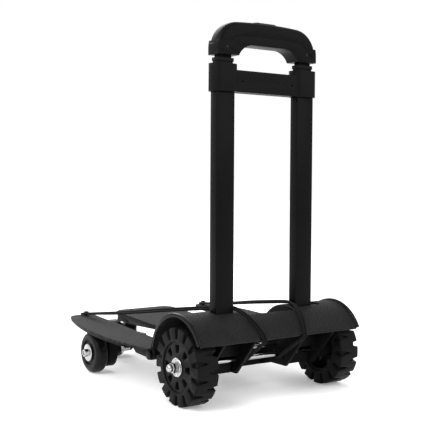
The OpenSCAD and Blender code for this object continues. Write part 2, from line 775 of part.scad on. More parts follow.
module caster_fork() color([0.06, 0.06, 0.06]) difference() {
    union() {
        rod_x(body_in, body_out, body_r, trail, caster_r);
        rod_x(body_out - 1, sleeve_out, axle_r + 5, trail, caster_r);
        cylinder_up(stem_r, caster_r, swivel_top);
    }
    rod_x(-big, big, axle_r + run, trail, caster_r);
    cylinder_up(bolt_r + run, 0, big);
    cylinder_up(bolt_r + 3, 0, swivel_top - bolt_deep + free);
}

module caster_axle() color([0.8, 0.8, 0.82]) {
    rod_x(hub_out - 8, bolt_end, axle_r, trail, caster_r);
    difference() {
        union() {
            rod_x(hub_out - free - 1.5, hub_out - free, face_r, trail, caster_r);
            translate([hub_out - free - 9.5, trail, caster_r]) rotate([0, 90, 0])
                cylinder(r = axle_r + 3.5, h = 8, $fn = 6);
            translate([sleeve_out, trail, caster_r]) rotate([0, 90, 0])
                cylinder(r = axle_r + 4, h = 8, $fn = 6);
            rod_x(sleeve_out, sleeve_out + 16, axle_r + 1.5, trail, caster_r);
        }
        rod_x(-big, big, axle_r, trail, caster_r);
    }
}

module caster_tyre() color([0.07, 0.07, 0.07]) translate([-side_off, trail, caster_r]) rotate([0, 90, 0])
    rotate_extrude($fn = 72) tyre_outline(hub_r + seat, caster_r, caster_w, 9);

module caster_hub() color([0.05, 0.05, 0.05]) difference() {
    union() {
        rod_x(-side_off - caster_w / 2 + 3, caster_in - 3, hub_r, trail, caster_r);
        rod_x(hub_out, body_in - free, axle_r + 6, trail, caster_r);
    }
    rod_x(-big, big, axle_r + run, trail, caster_r);
}

// ---- Elastic cords ----

function unit(v) = v / norm(v);

// A point on a smooth curve through four points, at t from 0 to 1 between b and c
function through(a, b, c, d, t) = 0.5 * (2 * b + (c - a) * t + (2 * a - 5 * b + 4 * c - d) * t * t
    + (3 * b - a - 3 * c + d) * t * t * t);

function smooth(pts, n) = concat([for (i = [0 : len(pts) - 2]) for (k = [0 : n - 1])
    through(pts[max(i - 1, 0)], pts[i], pts[i + 1], pts[min(i + 2, len(pts) - 1)], k / n)],
    [pts[len(pts) - 1]]);

function ring(pts, i, r, sides) = let (
        t = unit(pts[min(i + 1, len(pts) - 1)] - pts[max(i - 1, 0)]),
        u = unit(cross(t, [1, 0, 0])), v = cross(t, u))
    [for (k = [0 : sides - 1]) let (a = 360 * k / sides) pts[i] + r * (cos(a) * u + sin(a) * v)];

// A tube of one radius along a route
module sweep(pts, r, sides) {
    n = len(pts);
    rings = [for (i = [0 : n - 1]) for (p = ring(pts, i, r, sides)) p];
    walls = [for (i = [0 : n - 2]) for (k = [0 : sides - 1]) let (m = (k + 1) % sides)
        [i * sides + k, i * sides + m, (i + 1) * sides + m, (i + 1) * sides + k]];
    ends = [[for (k = [sides - 1 : -1 : 0]) k], [for (k = [0 : sides - 1]) (n - 1) * sides + k]];
    polyhedron(rings, concat(ends, walls));
}

// Route of the left cord in the frame of the rear axle: from its end round the
// axle up over the housing, past the tube, round the hook and back beside itself
span_in = [
    [-36, 0, 71.4], [-36, 5.2, 68.7], [-36, 6.3, 63.9], [-36, 2.9, 59.3], [-36.2, -3.7, 59.8],
    [-37, -20, 71.2], [-38.5, -45, 88.6], [-40, -67, 104], [-41, -68, 111], [-45, -60, 124],
    [-52, -44, 140], [-58, -24, 151], [-61, -4, 156], [-65, 18, 155], [-79.5, 80, 146.5],
    [-93, 150, 136.5], [-108, 222, 125], [-122, 300, 113.4], [-136.8, 391, 101]];
span_tip = [[-138.3, 394.7, 101.1], [-142, 396.2, 101.2], [-145.7, 394.7, 101.1]];
span_out = [[-147.7, 391, 101], [-128, 300, 110.8], [-112, 222, 122], [-96, 150, 133], [-82, 80, 143],
            [-66.4, 18, 152], [-65.2, -4, 153.6], [-62.5, -24, 150], [-57, -44, 139], [-50, -60, 123],
            [-46, -68, 110.5], [-45, -67, 104], [-43.5, -45, 88.6], [-42, -20, 71.2], [-41, -3.7, 59.8],
            [-41, 2.9, 59.3], [-41, 6.3, 63.9], [-41, 5.2, 68.7], [-41, 0, 71.4]];

module elastic_cord(side) color([0.02, 0.02, 0.02]) cart() on(side)
    sweep(smooth(concat(span_in, span_tip, span_out), 2), cord_d / 2, 8);

// ---- Nodes ----

housing_shell();
bracket(-1);  // bracket_left
bracket(1);  // bracket_right
hinge_beam();
tie_bar();
rear_axle();
axle_nuts();
axle_washers();
axle_spacers();
hinge_rod();
hinge_caps();
tube_sockets();
outer_tube(-1);  // outer_tube_left
outer_tube(1);  // outer_tube_right
outer_bushes();
collar();
collar_screws();
housing_screws();
elastic_cord(-1);  // elastic_cord_left
elastic_cord(1);  // elastic_cord_right
rear_tyre(-1);  // tyre_left
rear_rim(-1);  // rim_left
wheel_bush(-1);  // wheel_bush_left
rear_tyre(1);  // tyre_right
rear_rim(1);  // rim_right
wheel_bush(1);  // wheel_bush_right
mid_tubes();
mid_bushes();
inner_tubes();
grip_shell();
grip_cover();
grip_screws();
grip_button();
release_rods();
button_spring();
arm_frame_side(-1);  // arm_frame_left
arm_deck_side(-1);  // arm_deck_left
fasteners_side(-1);  // arm_fasteners_left
cord_hook(-1);  // cord_hook_left
at_pivot(side_pivot, -1, -1) caster_fork();  // caster_fork_left
at_pivot(side_pivot, -1, -1) caster_axle();  // caster_axle_left
at_pivot(side_pivot, -1, -1) caster_tyre();  // caster_tyre_left
at_pivot(side_pivot, -1, -1) caster_hub();  // caster_hub_left
arm_frame_side(1);  // arm_frame_right
arm_deck_side(1);  // arm_deck_right
fasteners_side(1);  // arm_fasteners_right
cord_hook(1);  // cord_hook_right
at_pivot(side_pivot, -1, 1) caster_fork();  // caster_fork_right
at_pivot(side_pivot, -1, 1) caster_axle();  // caster_axle_right
at_pivot(side_pivot, -1, 1) caster_tyre();  // caster_tyre_right
at_pivot(side_pivot, -1, 1) caster_hub();  // caster_hub_right
arm_frame_centre();
arm_deck_centre();
color([0.4, 0.4, 0.4]) fasteners(centre_pivot, centre_screws);  // arm_fasteners_centre
at_pivot(centre_pivot, 1, -1) caster_fork();  // caster_fork_centre
at_pivot(centre_pivot, 1, -1) caster_axle();  // caster_axle_centre
at_pivot(centre_pivot, 1, -1) caster_tyre();  // caster_tyre_centre
at_pivot(centre_pivot, 1, -1) caster_hub();  // caster_hub_centre
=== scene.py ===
import json
import math

import bmesh
import bpy
from mathutils import Matrix, Vector

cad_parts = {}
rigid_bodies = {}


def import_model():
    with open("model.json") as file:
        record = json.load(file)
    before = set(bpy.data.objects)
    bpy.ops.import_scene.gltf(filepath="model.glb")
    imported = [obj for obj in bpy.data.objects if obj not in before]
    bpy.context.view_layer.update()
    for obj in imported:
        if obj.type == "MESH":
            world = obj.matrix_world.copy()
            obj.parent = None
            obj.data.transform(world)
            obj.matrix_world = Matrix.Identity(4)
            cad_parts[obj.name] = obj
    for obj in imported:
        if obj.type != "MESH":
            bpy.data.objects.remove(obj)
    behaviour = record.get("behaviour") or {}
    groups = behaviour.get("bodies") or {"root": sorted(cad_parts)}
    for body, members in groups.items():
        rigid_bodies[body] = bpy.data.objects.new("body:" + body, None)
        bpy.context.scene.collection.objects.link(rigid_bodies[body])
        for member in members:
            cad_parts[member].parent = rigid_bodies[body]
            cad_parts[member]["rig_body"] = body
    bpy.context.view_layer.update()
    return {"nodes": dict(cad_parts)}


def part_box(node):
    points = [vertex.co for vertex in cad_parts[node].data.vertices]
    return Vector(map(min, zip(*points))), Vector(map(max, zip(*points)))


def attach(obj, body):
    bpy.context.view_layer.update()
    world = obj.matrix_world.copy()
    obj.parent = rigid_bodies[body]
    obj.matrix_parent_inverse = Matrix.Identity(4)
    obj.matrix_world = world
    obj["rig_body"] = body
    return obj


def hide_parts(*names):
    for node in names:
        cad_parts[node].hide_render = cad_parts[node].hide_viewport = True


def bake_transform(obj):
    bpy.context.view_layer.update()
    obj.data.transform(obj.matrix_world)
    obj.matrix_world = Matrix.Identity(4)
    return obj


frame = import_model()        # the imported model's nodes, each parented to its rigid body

bl_info = {
    "name": "Folding platform cart",
    "version": (1, 0, 0),
    "blender": (4, 5, 0),
    "location": "View3D > Sidebar > Cart",
    "description": "Finishes the shells, wheels, grip, decks and cords of a folding platform cart",
    "category": "Object",
}

MM = 0.001
SIDES = {"left": -1, "right": 1}
ARMS = ("left", "right", "centre")


# ---- Places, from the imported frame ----

def middle(node):
    low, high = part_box(node)
    return (low + high) / 2


def size(node):
    low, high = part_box(node)
    return high - low


AXLE = Vector((0, middle("rear_axle").y, middle("rear_axle").z))
TUBE = middle("outer_tube_right")
GRIP = middle("grip_cover")

# The housing: its arch's middle line, half its width, and the angles of its rear and
# front edges about that line, up from the front
ARCH = AXLE + Vector((0, 3 * MM, 8.5 * MM))
SHELL_HALF = size("housing_shell").x / 2
REAR_EDGE, FRONT_EDGE = math.radians(152.4), math.radians(7.1)
# The notch for the middle arm: half its width, and how far behind the axle it starts
NOTCH_HALF, NOTCH_BACK = 57 * MM, 25 * MM
# Room round a handle tube in its slot, and the slot's extra width on its +X side
SLOT_ROOM, SLOT_EXTRA = 1 * MM, 20 * MM


# ---- Sizes and finishes that a user would change ----

def length(name, description, default):
    return bpy.props.FloatProperty(name=name, description=description, default=default * MM,
                                   min=0, subtype="DISTANCE", unit="LENGTH")


def colour(name, description, default):
    return bpy.props.FloatVectorProperty(name=name, description=description, default=default,
                                         size=3, min=0, max=1, subtype="COLOR")


class CartSizes(bpy.types.PropertyGroup):
    shell_radius: length("Shell radius", "Outer radius of the arched housing", 77)
    shell_wall: length("Shell wall", "Thickness of the arched housing", 4)
    flange_height: length("Flange height", "How far the end flanges stand above the housing", 3)
    flange_width: length("Flange width", "Width of the end flanges", 6)
    grip_round: length("Grip round", "Rounding of the grip's outer and hand edges", 9)
    thread: length("Thread", "Width of one thread of the woven relief", 2)
    cord: length("Cord", "Diameter of each strand of the elastic cords", 4)


class CartFinishes(bpy.types.PropertyGroup):
    plastic: colour("Plastic", "Moulded black plastic", (0.0035, 0.0035, 0.0037))
    deck: colour("Deck", "Decks and housing with the woven relief", (0.006, 0.006, 0.0062))
    rubber: colour("Rubber", "Tyres", (0.0045, 0.0045, 0.0045))
    tube: colour("Tube", "Anodised handle tubes", (0.0028, 0.0028, 0.003))
    chrome: colour("Chrome", "Plated nuts, washers and axles", (0.52, 0.52, 0.53))
    cord: colour("Cord", "Sleeve of the elastic cords", (0.004, 0.004, 0.0042))


def sizes():
    return bpy.context.scene.cart_sizes


def finishes():
    return bpy.context.scene.cart_finishes


# ---- Materials ----

# How much light the black plastics and rubbers send straight back
SHEEN = 0.05


class Value:
    """A number that varies over a surface. Sums written on it add Math nodes."""

    def __init__(self, paint, socket):
        self.paint, self.socket = paint, socket

    def sum(self, operation, *others, settings=None):
        node = self.paint.node("ShaderNodeMath", {"operation": operation, **(settings or {})},
                               dict(enumerate((self, *others))))
        return Value(self.paint, node.outputs[0])

    def __add__(self, other):
        return self.sum("ADD", other)

    def __sub__(self, other):
        return self.sum("SUBTRACT", other)

    def __rsub__(self, other):
        return (self * -1) + other

    def __mul__(self, other):
        return self.sum("MULTIPLY", other)

    def __truediv__(self, other):
        return self.sum("DIVIDE", other)

    def __mod__(self, other):
        return self.sum("FLOORED_MODULO", other)

    def __lt__(self, other):
        return self.sum("LESS_THAN", other)

    __radd__ = __add__
    __rmul__ = __mul__

    def floor(self):
        return self.sum("FLOOR")

    def wave(self):
        return self.sum("SINE")

    def size(self):
        return self.sum("ABSOLUTE")

    def limit(self):
        return self.sum("ADD", 0.0, settings={"use_clamp": True})


class Paint:
    """One material, built on its Principled shader."""

    def __init__(self, name, **constants):
        self.material = bpy.data.materials.new(name)
        self.material.use_nodes = True
        self.tree = self.material.node_tree
        self.shader = self.tree.nodes["Principled BSDF"]
        for socket, value in constants.items():
            self.feed(self.shader.inputs[socket.replace("_", " ")], value)
        self.place = self.node("ShaderNodeTexCoord").outputs["Object"]

    def feed(self, socket, value):
        if isinstance(value, Value):
            value = value.socket
        if isinstance(value, bpy.types.NodeSocket):
            self.tree.links.new(value, socket)
        elif value is not None:
            socket.default_value = value

    def node(self, kind, settings=None, inputs=None):
        made = self.tree.nodes.new(kind)
        for name, value in (settings or {}).items():
            setattr(made, name, value)
        for name, value in (inputs or {}).items():
            self.feed(made.inputs[name], value)
        return made

    def axes(self, vector=None):
        split = self.node("ShaderNodeSeparateXYZ", inputs={0: vector or self.place})
        return [Value(self, s) for s in split.outputs]

    def stretched(self, x, y, z):
        return self.node("ShaderNodeVectorMath", {"operation": "MULTIPLY"},
                         {0: self.place, 1: (x, y, z)}).outputs[0]

    def noise(self, scale, detail, vector=None):
        made = self.node("ShaderNodeTexNoise", inputs={"Vector": vector or self.place, "Scale": scale,
                                                       "Detail": detail, "Roughness": 0.55})
        return Value(self, made.outputs["Fac"])

    def blend(self, mask, dark, light):
        made = self.node("ShaderNodeMix", {"data_type": "RGBA"},
                         {0: mask, 6: (*dark, 1), 7: (*light, 1)})
        return made.outputs[2]

    def bump(self, height, depth):
        made = self.node("ShaderNodeBump", inputs={"Height": height, "Strength": 1.0, "Distance": depth})
        self.feed(self.shader.inputs["Normal"], made.outputs[0])

    def colour(self, value):
        self.feed(self.shader.inputs["Base Color"], value)

    def rough(self, value):
        self.feed(self.shader.inputs["Roughness"], value)


def tinted(rgb, factor):
    return tuple(min(1, c * factor) for c in rgb)


def moulded(name, rgb, rough=0.42, grain=1800, dust=0.5, coat=0.0):
    """Injection-moulded plastic: a fine spark grain, faint flow marks and a little dust."""
    paint = Paint(name, Coat_Weight=coat, Coat_Roughness=0.18, Specular_IOR_Level=SHEEN)
    fine = paint.noise(grain, 2)
    flow = paint.noise(22, 3, paint.stretched(1, 2.5, 1))
    specks = (paint.noise(420, 4) - 0.62).sum("MULTIPLY", 6.0).limit()
    paint.colour(paint.blend((flow * 0.8 + specks * dust * 0.5).limit(), rgb, tinted(rgb, 1.9)))
    paint.rough(rough + (flow - 0.5) * 0.16 + (fine - 0.5) * 0.10 + specks * 0.12)
    paint.bump(fine + flow * 0.4, 0.00012)
    return paint.material


def twill(paint, rgb, u, v):
    """Moulded relief of a two-by-two twill: u and v count threads along and across."""
    columns, rows = u.floor(), v.floor()
    over = ((columns + rows) % 4) < 2
    warp = ((u % 1) - 0.5).size()
    weft = ((v % 1) - 0.5).size()
    warp_round = 1 - warp * warp * 4
    weft_round = 1 - weft * weft * 4
    # Along its float a thread rises in the middle and dips where it goes under
    run_warp = (((columns + v) % 4) * (math.pi / 2)).wave()
    run_weft = (((u + rows + 2) % 4) * (math.pi / 2)).wave()
    warp_height = warp_round * (run_warp * 0.5 + 0.5)
    weft_height = weft_round * (run_weft * 0.5 + 0.5)
    height = over * warp_height + (1 - over) * weft_height
    wear = paint.noise(35, 4)
    fine = paint.noise(1500, 2)
    # Painted shade and highlight: the colour follows the relief's height, so the hollows between threads are
    # painted dark and the raised thread tops light, with random wear mottling mixed in.
    relief_shade_and_wear = (height * 0.9 + (wear - 0.5) * 0.4).limit()
    paint.colour(paint.blend(relief_shade_and_wear, tinted(rgb, 0.15), tinted(rgb, 5.5)))
    paint.rough(0.36 + (1 - height) * 0.34 + (wear - 0.5) * 0.12 + over * 0.08)
    paint.bump(height + fine * 0.06, 0.0020)
    return paint.material


def twill_on_uv(name, rgb, thread):
    paint = Paint(name, Specular_IOR_Level=2 * SHEEN)
    u, v, _ = paint.axes(paint.node("ShaderNodeUVMap", {"uv_map": "Weave"}).outputs[0])
    return twill(paint, rgb, u / thread, v / thread)


def twill_flat(name, rgb, thread):
    paint = Paint(name, Specular_IOR_Level=2 * SHEEN)
    x, y, _ = paint.axes()
    return twill(paint, rgb, x / thread, y / thread * -1)


def anodised(name, rgb):
    """Black anodised aluminium tube: fine lines drawn along Z and soft cloudy wear."""
    paint = Paint(name, Metallic=0.2, Specular_IOR_Level=SHEEN)
    drawn = paint.noise(1.0, 3, paint.stretched(1600, 1600, 14))
    cloud = paint.noise(14, 4)
    paint.colour(paint.blend((cloud * 0.9).limit(), rgb, tinted(rgb, 2.2)))
    paint.rough(0.30 + (cloud - 0.5) * 0.18 + (drawn - 0.5) * 0.12)
    paint.bump(drawn, 0.00004)
    return paint.material


def plated(name, rgb, rough=0.14):
    """Chrome, zinc or black plating with faint clouding and fine pits."""
    paint = Paint(name, Metallic=1.0)
    cloud = paint.noise(120, 4)
    pits = (paint.noise(900, 3) - 0.6).sum("MULTIPLY", 5.0).limit()
    paint.colour(paint.blend((cloud * 0.7 + pits * 0.5).limit(), rgb, tinted(rgb, 0.62)))
    paint.rough(rough + (cloud - 0.5) * 0.14 + pits * 0.15)
    paint.bump(cloud + pits, 0.00003)
    return paint.material


def rubber(name, rgb, rough, gloss=0.0):
    """Tyre rubber: mottled, slightly bloomed, with a fine skin."""
    paint = Paint(name, Coat_Weight=gloss, Coat_Roughness=0.22, Specular_IOR_Level=SHEEN)
    bloom = paint.noise(30, 5)
    skin = paint.noise(1100, 3)
    scuff = (paint.noise(160, 5) - 0.57).sum("MULTIPLY", 5.0).limit()
    paint.colour(paint.blend((bloom * 0.7 + scuff * 0.4).limit(), rgb, tinted(rgb, 2.0)))
    paint.rough(rough + (bloom - 0.5) * 0.2 + scuff * 0.15)
    paint.bump(skin + bloom * 0.6, 0.00015)
    return paint.material


def braided(name, rgb):
    """Woven sleeve of an elastic cord: two crossing sets of strands, from the tube's own UV map."""
    paint = Paint(name, Sheen_Weight=0.03, Sheen_Roughness=0.5, Specular_IOR_Level=SHEEN)
    u, v, _ = paint.axes(paint.node("ShaderNodeUVMap", {"uv_map": "Sleeve"}).outputs[0])
    one = (u + v) * math.tau
    two = (u - v) * math.tau
    strands = one.wave().size() * 0.5 + two.wave().size() * 0.5
    over = (u * 2 + v * 2).floor() % 2
    fuzz = paint.noise(2500, 3)
    height = strands * (0.6 + over * 0.4) + fuzz * 0.25
    # Painted shade and highlight: the strands' height sets the colour, dark in the hollows between strands
    # and light on the strands lying on top, with random fuzz mixed in.
    paint.colour(paint.blend((height * 0.8).limit(), tinted(rgb, 0.5), tinted(rgb, 2.2)))
    paint.rough(0.62 + (fuzz - 0.5) * 0.3)
    paint.bump(height, 0.0004)
    return paint.material


def floor_finish(name):
    """Pale matt floor that gives off a little light, so that it meets the white studio without an edge."""
    paint = Paint(name, Specular_IOR_Level=0.2)
    cloud = paint.noise(1.4, 4)
    paint.colour(paint.blend(cloud.limit(), (0.94, 0.94, 0.94), (0.97, 0.97, 0.97)))
    paint.rough(0.75 + (cloud - 0.5) * 0.1)
    paint.feed(paint.shader.inputs["Emission Color"], (1, 1, 1, 1))
    paint.feed(paint.shader.inputs["Emission Strength"], 0.22)
    return paint.material


MATERIALS = {}


def material(name):
    """The material of that name, made when it is first asked for."""
    tone = finishes()
    makers = {
        "moulded_black": lambda: moulded("moulded_black", tone.plastic),
        "frame_black": lambda: moulded("frame_black", tinted(tone.plastic, 1.25), 0.4, 1500, 0.8),
        "rim_black": lambda: moulded("rim_black", tinted(tone.plastic, 1.7), 0.36, 1300, 0.8),
        "flange_gloss": lambda: moulded("flange_gloss", tinted(tone.plastic, 1.2), 0.2, 1500, 0.4, 0.12),
        "grip_black": lambda: moulded("grip_black", tinted(tone.plastic, 0.8), 0.36, 1400, 0.4),
        "button_gloss": lambda: moulded("button_gloss", tinted(tone.plastic, 0.7), 0.16, 900, 0.3, 0.15),
        "bush_black": lambda: moulded("bush_black", tinted(tone.plastic, 1.6), 0.34, 1200),
        "housing_weave": lambda: twill_on_uv("housing_weave", tone.deck, sizes().thread),
        "deck_weave": lambda: twill_flat("deck_weave", tone.deck, sizes().thread),
        "tube_black": lambda: anodised("tube_black", tone.tube),
        "chrome": lambda: plated("chrome", tone.chrome),
        "zinc": lambda: plated("zinc", tinted(tone.chrome, 0.45), 0.34),
        "screw_black": lambda: plated("screw_black", tinted(tone.chrome, 0.05), 0.4),
        "tyre": lambda: rubber("tyre", tone.rubber, 0.44),
        "caster_rubber": lambda: rubber("caster_rubber", tinted(tone.rubber, 1.3), 0.24, 0.12),
        "cord_sleeve": lambda: braided("cord_sleeve", tone.cord),
        "floor": lambda: floor_finish("floor"),
    }
    if name not in MATERIALS:
        MATERIALS[name] = makers[name]()
    return MATERIALS[name]


# ---- Mesh helpers ----

def piece(name, bm, body, finish, nodes=(), smooth=32):
    """Turns a bmesh into a finished piece that rides on a body and stands for CAD nodes."""
    mesh = bpy.data.meshes.new(name)
    bm.to_mesh(mesh)
    bm.free()
    mesh.materials.append(material(finish))
    mesh.polygons.foreach_set("use_smooth", [True] * len(mesh.polygons))
    mesh.set_sharp_from_angle(angle=math.radians(smooth))
    made = bpy.data.objects.new(name, mesh)
    bpy.context.scene.collection.objects.link(made)
    if body:
        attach(made, body)
    if nodes:
        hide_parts(*nodes)
    return made


def bevel(bm, edges, by, segments):
    if edges:
        bmesh.ops.bevel(bm, geom=list(edges), offset=by, offset_type="OFFSET", affect="EDGES",
                        segments=segments, profile=0.5, material=-1, clamp_overlap=True)


def sharp_edges(bm, degrees):
    return [e for e in bm.edges if len(e.link_faces) == 2 and e.calc_face_angle(0) > math.radians(degrees)]


def merged(node):
    """A copy of a CAD node's mesh, with its doubled vertices merged and its flat faces joined."""
    bm = bmesh.new()
    bm.from_mesh(frame["nodes"][node].data)
    bmesh.ops.remove_doubles(bm, verts=bm.verts, dist=2e-6)
    bmesh.ops.dissolve_limit(bm, angle_limit=math.radians(0.5), verts=bm.verts, edges=bm.edges)
    return bm


def rounded_piece(node, finish, by, segments=2, degrees=35):
    """A finished copy of a CAD node with its sharp edges rounded."""
    bm = merged(node)
    bevel(bm, sharp_edges(bm, degrees), by, segments)
    return piece(node + "_rounded", bm, frame["nodes"][node]["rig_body"], finish, [node])


def lie_along_x(bm, verts):
    """Turns what stands along Z to lie along X."""
    bmesh.ops.rotate(bm, verts=verts, cent=(0, 0, 0), matrix=Matrix.Rotation(math.radians(90), 3, "Y"))


def ring(bm, spots):
    """The vertices and edges of a closed ring through the spots, in that order."""
    verts = [bm.verts.new(spot) for spot in spots]
    return verts + [bm.edges.new((verts[i - 1], verts[i])) for i in range(len(verts))]


def last_verts(spun):
    """The vertices at the end of a spin, for the face that closes it."""
    return [v for v in spun["geom_last"] if isinstance(v, bmesh.types.BMVert)]


def turned(bm, profile, centre, steps=96):
    """Turns a closed profile of (radius, x) points about an axis along X."""
    bmesh.ops.spin(bm, geom=ring(bm, [centre + Vector((x, 0, r)) for r, x in profile]), cent=centre,
                   axis=(1, 0, 0), angle=math.tau, steps=steps, use_merge=True, use_duplicate=False)


def hexagon(bm, centre, radius, low, high, chamfer):
    """A hex nut along X, from x = low to high, its outer corners chamfered."""
    made = bmesh.ops.create_cone(bm, cap_ends=True, segments=6, radius1=radius, radius2=radius,
                                 depth=abs(high - low))["verts"]
    lie_along_x(bm, made)
    bmesh.ops.translate(bm, verts=made, vec=Vector(((low + high) / 2, centre.y, centre.z)))
    ends = [e for e in {e for v in made for e in v.link_edges}
            if abs(e.verts[0].co.x - e.verts[1].co.x) < 1e-7]
    bevel(bm, ends, chamfer, 2)


# ---- Housing and chassis ----

def shell_point(x, angle, radius):
    return ARCH + Vector((x, radius * math.cos(angle), radius * math.sin(angle)))


def arch_angles():
    """Angles of the housing's back edge, notch edge, slot edges and front edge, back to front."""
    radius = sizes().shell_radius
    low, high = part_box("outer_tube_left")
    spots = [AXLE.y - NOTCH_BACK, low.y - SLOT_ROOM, high.y + SLOT_ROOM]
    return [REAR_EDGE] + [math.acos((y - ARCH.y) / radius) for y in spots] + [FRONT_EDGE]


def wanted(x, angle, angles, slots):
    """Whether the housing has skin at a place between its notch and slots."""
    if abs(x) < NOTCH_HALF and angle < angles[1]:
        return False
    return not any(low < x < high and angles[3] < angle < angles[2] for low, high in slots)


def add_weave_map(bm):
    layer = bm.loops.layers.uv.new("Weave")
    radius = sizes().shell_radius
    for face in bm.faces:
        for loop in face.loops:
            offset = loop.vert.co - ARCH
            loop[layer].uv = (offset.x, math.atan2(offset.z, offset.y) * radius)


class CART_OT_housing(bpy.types.Operator):
    """Arched housing with its woven relief, end flanges and rear lip"""
    bl_idname = "cart.housing"
    bl_label = "Housing"

    def execute(self, context):
        self.skin()
        self.flanges()
        self.lip()
        return {"FINISHED"}

    def skin(self):
        dims = sizes()
        inner = dims.shell_radius - dims.shell_wall
        tube_half = size("outer_tube_left").x / 2
        slots = [(s * TUBE.x - tube_half - SLOT_ROOM, s * TUBE.x + tube_half + SLOT_EXTRA) for s in (-1, 1)]
        # The skin ends inside the flanges
        ends = SHELL_HALF - 1 * MM
        stops = sorted({-ends, ends, -NOTCH_HALF, NOTCH_HALF, *[x for pair in slots for x in pair]})
        xs = []
        for a, b in zip(stops, stops[1:]):
            count = max(1, round((b - a) / (8 * MM)))
            xs += [a + (b - a) * i / count for i in range(count)]
        xs.append(stops[-1])
        angles = arch_angles()
        bm = bmesh.new()
        line = [bm.verts.new(shell_point(x, angles[0], inner)) for x in xs]
        geom = line + [bm.edges.new(pair) for pair in zip(line, line[1:])]
        for first, last in zip(angles, angles[1:]):
            steps = max(2, round((first - last) / math.radians(2.5)))
            made = bmesh.ops.spin(bm, geom=geom, cent=ARCH, axis=(1, 0, 0), angle=last - first, steps=steps,
                                  use_merge=False, use_duplicate=False)
            geom = made["geom_last"]
        lost = []
        for face in bm.faces:
            spot = face.calc_center_median() - ARCH
            if not wanted(spot.x, math.atan2(spot.z, spot.y), angles, slots):
                lost.append(face)
        bmesh.ops.delete(bm, geom=lost, context="FACES")
        bmesh.ops.recalc_face_normals(bm, faces=bm.faces)
        top = max(bm.faces, key=lambda f: f.calc_center_median().z)
        if top.normal.z > 0:
            bmesh.ops.reverse_faces(bm, faces=bm.faces)
        bmesh.ops.solidify(bm, geom=list(bm.faces), thickness=dims.shell_wall)
        bmesh.ops.recalc_face_normals(bm, faces=bm.faces)
        bevel(bm, sharp_edges(bm, 50), 1 * MM, 3)
        add_weave_map(bm)
        piece("housing", bm, "chassis", "housing_weave", ["housing_shell"])

    def flanges(self):
        dims = sizes()
        low = dims.shell_radius - dims.shell_wall
        high = dims.shell_radius + dims.flange_height
        angles = arch_angles()
        bm = bmesh.new()
        for s in (-1, 1):
            far, near = s * SHELL_HALF, s * (SHELL_HALF - dims.flange_width)
            section = [(low, far - s * 0.6 * MM), (low + 0.6 * MM, far), (high - 1.6 * MM, far),
                       (high - 0.5 * MM, far - s * 0.5 * MM), (high, far - s * 1.8 * MM),
                       (high - 0.2 * MM, near + s * 1.6 * MM), (high - 1.2 * MM, near + s * 0.5 * MM),
                       (high - 2.6 * MM, near), (low, near)]
            start = ring(bm, [shell_point(x, angles[0], r) for r, x in section])
            spun = bmesh.ops.spin(bm, geom=start, cent=ARCH, axis=(1, 0, 0), angle=angles[-1] - angles[0],
                                  steps=72, use_merge=False, use_duplicate=False)
            bm.faces.new(start[:len(section)])
            bm.faces.new(last_verts(spun))
        bmesh.ops.recalc_face_normals(bm, faces=bm.faces)
        piece("housing_flanges", bm, "chassis", "flange_gloss", [], 40)

    def lip(self):
        dims = sizes()
        bm = bmesh.new()
        centre = shell_point(0, arch_angles()[0], dims.shell_radius - dims.shell_wall / 2)
        half = SHELL_HALF - dims.flange_width
        made = bmesh.ops.create_cone(bm, cap_ends=True, segments=20, radius1=2.6 * MM, radius2=2.6 * MM,
                                     depth=2 * half)["verts"]
        lie_along_x(bm, made)
        bmesh.ops.translate(bm, verts=made, vec=Vector((0, centre.y + 0.6 * MM, centre.z)))
        piece("housing_lip", bm, "chassis", "flange_gloss")


class CART_OT_chassis(bpy.types.Operator):
    """Brackets, hinge beam, tube sockets and their screws"""
    bl_idname = "cart.chassis"
    bl_label = "Chassis"

    def execute(self, context):
        for node in ("bracket_left", "bracket_right", "hinge_beam"):
            rounded_piece(node, "moulded_black", 0.9 * MM, 2)
        rounded_piece("tube_sockets", "moulded_black", 0.6 * MM, 2)
        for node in ("hinge_caps", "axle_spacers"):
            rounded_piece(node, "bush_black", 0.6 * MM, 2)
        rounded_piece("housing_screws", "screw_black", 0.5 * MM, 2)
        for node in ("tie_bar", "rear_axle", "hinge_rod"):
            rounded_piece(node, "chrome", 0.5 * MM, 2)
        self.washers()
        self.nuts()
        return {"FINISHED"}

    def washers(self):
        """Dished plated washers with a raised outer bead"""
        bm = bmesh.new()
        low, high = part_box("axle_washers")
        radius = (high.z - low.z) / 2
        thick = 2 * MM
        for s in (-1, 1):
            far = s * high.x
            near = far - s * thick
            turned(bm, [(4.3 * MM, near), (radius - 0.6 * MM, near), (radius, near + s * 0.5 * MM),
                        (radius, far - s * 0.6 * MM), (radius - 0.6 * MM, far), (radius - 2.6 * MM, far),
                        (radius - 3.6 * MM, far - s * 1.1 * MM), (10.2 * MM, far - s * 1.1 * MM),
                        (9.6 * MM, far), (4.3 * MM, far)], AXLE, 64)
        bmesh.ops.recalc_face_normals(bm, faces=bm.faces)
        piece("axle_washer_pair", bm, "chassis", "chrome", ["axle_washers"])

    def nuts(self):
        """Hex nuts with a domed cap"""
        bm = bmesh.new()
        low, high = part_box("axle_nuts")
        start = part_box("axle_washers")[1].x
        for s in (-1, 1):
            hexagon(bm, AXLE, 9 * MM, s * start, s * (start + 9.5 * MM), 0.9 * MM)
            dome = 6.6 * MM
            base = start + 9.3 * MM
            tip = high.x
            straight = tip - dome * 0.8
            cap = [(dome * math.cos(math.radians(a)),
                    s * (straight + (tip - straight) * math.sin(math.radians(a)))) for a in range(0, 86, 17)]
            turned(bm, [(0.05 * MM, s * base), (dome, s * base)] + cap + [(0.05 * MM, s * tip)], AXLE, 40)
        bmesh.ops.recalc_face_normals(bm, faces=bm.faces)
        piece("axle_nut_pair", bm, "chassis", "chrome", ["axle_nuts"])


# ---- Rear wheels ----

